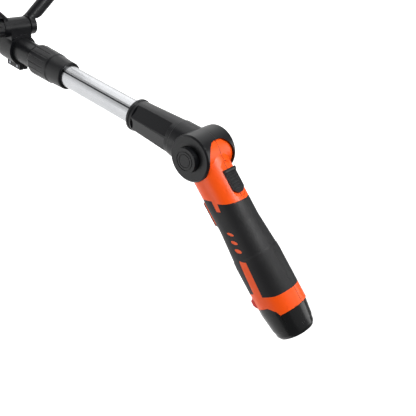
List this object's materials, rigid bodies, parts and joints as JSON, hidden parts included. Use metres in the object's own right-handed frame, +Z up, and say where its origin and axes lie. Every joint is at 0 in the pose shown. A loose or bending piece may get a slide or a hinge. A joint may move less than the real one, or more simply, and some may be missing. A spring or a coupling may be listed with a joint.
{
  "type": "string trimmer",
  "caption": "Cordless string trimmer: battery grip on a locking swivel knuckle, telescopic pole with loop handle, tilting guarded cutting head.",
  "frame": {"origin": "centre of the flat underside of the spool cap, on the ground", "axes": "+Z up, -X forward (the way the user faces), -Y the user's left; the pole leans back along +X"},
  "size_m": [0.8902, 0.278, 0.8166],
  "materials": {
    "orange_plastic": "fine moulded texture",
    "black_rubber": "soft overmould",
    "black_plastic": "satin moulded",
    "red_plastic": "gloss moulded",
    "grey_plastic": "moulded",
    "steel": "zinc plated",
    "aluminium": "satin anodised",
    "black_tube": "satin powder coat",
    "brass": "tinned",
    "circuit_board": "solder mask",
    "cell_wrap": "shrink sleeve",
    "trimmer_line": "nylon monofilament"
  },
  "bodies": {
    "handle": {"handle_shell_left": "orange_plastic", "handle_shell_right": "orange_plastic", "grip_left": "black_rubber", "grip_right": "black_rubber", "handle_screws": "steel", "trigger_pin": "steel", "trigger_switch": "grey_plastic", "slide_switch": "grey_plastic", "control_board": "circuit_board", "terminal_block": "grey_plastic", "terminal_blades": "brass", "dog_ring": "steel"},
    "thumb_slider": {"thumb_slider": "black_plastic"},
    "trigger": {"trigger_lever": "orange_plastic", "trigger_pad": "black_rubber"},
    "battery": {"battery_housing": "black_plastic", "battery_end_cap": "black_plastic", "battery_cells": "cell_wrap", "battery_contacts": "brass"},
    "battery_release": {"battery_release": "red_plastic"},
    "knuckle": {"knuckle_shell_left": "black_plastic", "knuckle_shell_right": "black_plastic", "knuckle_screws": "steel", "pivot_axle": "steel", "pivot_cover": "black_plastic", "inner_tube": "aluminium", "tube_bush": "black_plastic", "tube_screw": "steel", "button_spring": "steel"},
    "pivot_button": {"pivot_button": "black_plastic", "lock_gear": "steel"},
    "lower_pole": {"outer_tube": "black_tube", "collet": "black_plastic", "pole_yoke": "black_plastic", "tilt_bolt": "steel", "tilt_nut": "steel", "tilt_spring": "steel", "aux_clamp": "black_plastic", "clamp_screws": "steel", "aux_bolt": "steel"},
    "lock_sleeve": {"lock_sleeve": "black_plastic"},
    "aux_handle": {"aux_loop": "black_plastic"},
    "aux_knob": {"aux_knob": "black_plastic"},
    "tilt_button": {"tilt_button": "red_plastic"},
    "head": {"head_shell_left": "orange_plastic", "head_shell_right": "orange_plastic", "head_screws": "steel", "motor": "steel", "guard": "black_plastic", "guard_screws": "steel", "line_cutter": "steel"},
    "plant_guard": {"plant_guard": "steel"},
    "spool": {"drive_shaft": "steel", "spool_housing": "black_plastic", "spool_cap": "black_plastic", "line_spool": "orange_plastic", "wound_line": "trimmer_line", "cutting_line": "trimmer_line"}
  },
  "joints": [
    {"name": "thumb_slider_slide", "type": "slide", "parent": "handle", "child": "thumb_slider", "axis": [-0.9816, 0, -0.1908], "range_m": [0, 0.006]},
    {"name": "trigger_pull", "type": "hinge", "parent": "handle", "child": "trigger", "pos_m": [0.59901, 0, 0.75335], "axis": [0, -1, 0], "range_deg": [0, 6], "stiffness_Nm_per_rad": 1.2, "springref_deg": -6.88},
    {"name": "battery_slide", "type": "slide", "parent": "handle", "child": "battery", "axis": [0.9816, 0, 0.1908], "range_m": [0, 0.092]},
    {"name": "battery_release_press", "type": "slide", "parent": "handle", "child": "battery_release", "axis": [-0.1908, 0, 0.9816], "range_m": [0, 0.0025], "stiffness_N_per_m": 900, "springref_m": -0.002},
    {"name": "handle_swivel", "type": "hinge", "parent": "handle", "child": "knuckle", "pos_m": [0.5455, 0, 0.75609], "axis": [0, -1, 0], "range_deg": [-40, 10]},
    {"name": "pivot_button_press", "type": "slide", "parent": "knuckle", "child": "pivot_button", "axis": [0, 1, 0], "range_m": [0, 0.004], "stiffness_N_per_m": 900, "springref_m": -0.002, "deforming": ["button_spring"]},
    {"name": "telescope", "type": "slide", "parent": "knuckle", "child": "lower_pole", "axis": [-0.6293, 0, -0.7771], "range_m": [-0.09, 0.16]},
    {"name": "lock_sleeve_twist", "type": "hinge", "parent": "lower_pole", "child": "lock_sleeve", "pos_m": [0.38701, 0, 0.56275], "axis": [0.6293, 0, 0.7771], "range_deg": [0, 70]},
    {"name": "aux_handle_tilt", "type": "hinge", "parent": "lower_pole", "child": "aux_handle", "pos_m": [0.31427, 0, 0.51742], "axis": [0, 1, 0], "range_deg": [-45, 35]},
    {"name": "aux_knob_turn", "type": "hinge", "parent": "lower_pole", "child": "aux_knob", "pos_m": [0.31427, -0.03, 0.51742], "axis": [0, 1, 0], "continuous": true},
    {"name": "tilt_button_press", "type": "slide", "parent": "lower_pole", "child": "tilt_button", "axis": [0.7771, 0, -0.6293], "range_m": [0, 0.003], "stiffness_N_per_m": 700, "springref_m": -0.002, "deforming": ["tilt_spring"]},
    {"name": "head_tilt", "type": "hinge", "parent": "lower_pole", "child": "head", "pos_m": [0.022, 0, 0.112], "axis": [0, 1, 0], "range_deg": [-20, 30]},
    {"name": "plant_guard_fold", "type": "hinge", "parent": "head", "child": "plant_guard", "pos_m": [0.01, 0, 0.028], "axis": [0, 1, 0], "range_deg": [0, 80]},
    {"name": "spool_spin", "type": "hinge", "parent": "head", "child": "spool", "pos_m": [0, 0, 0.03], "axis": [0, 0, 1], "continuous": true}
  ]
}
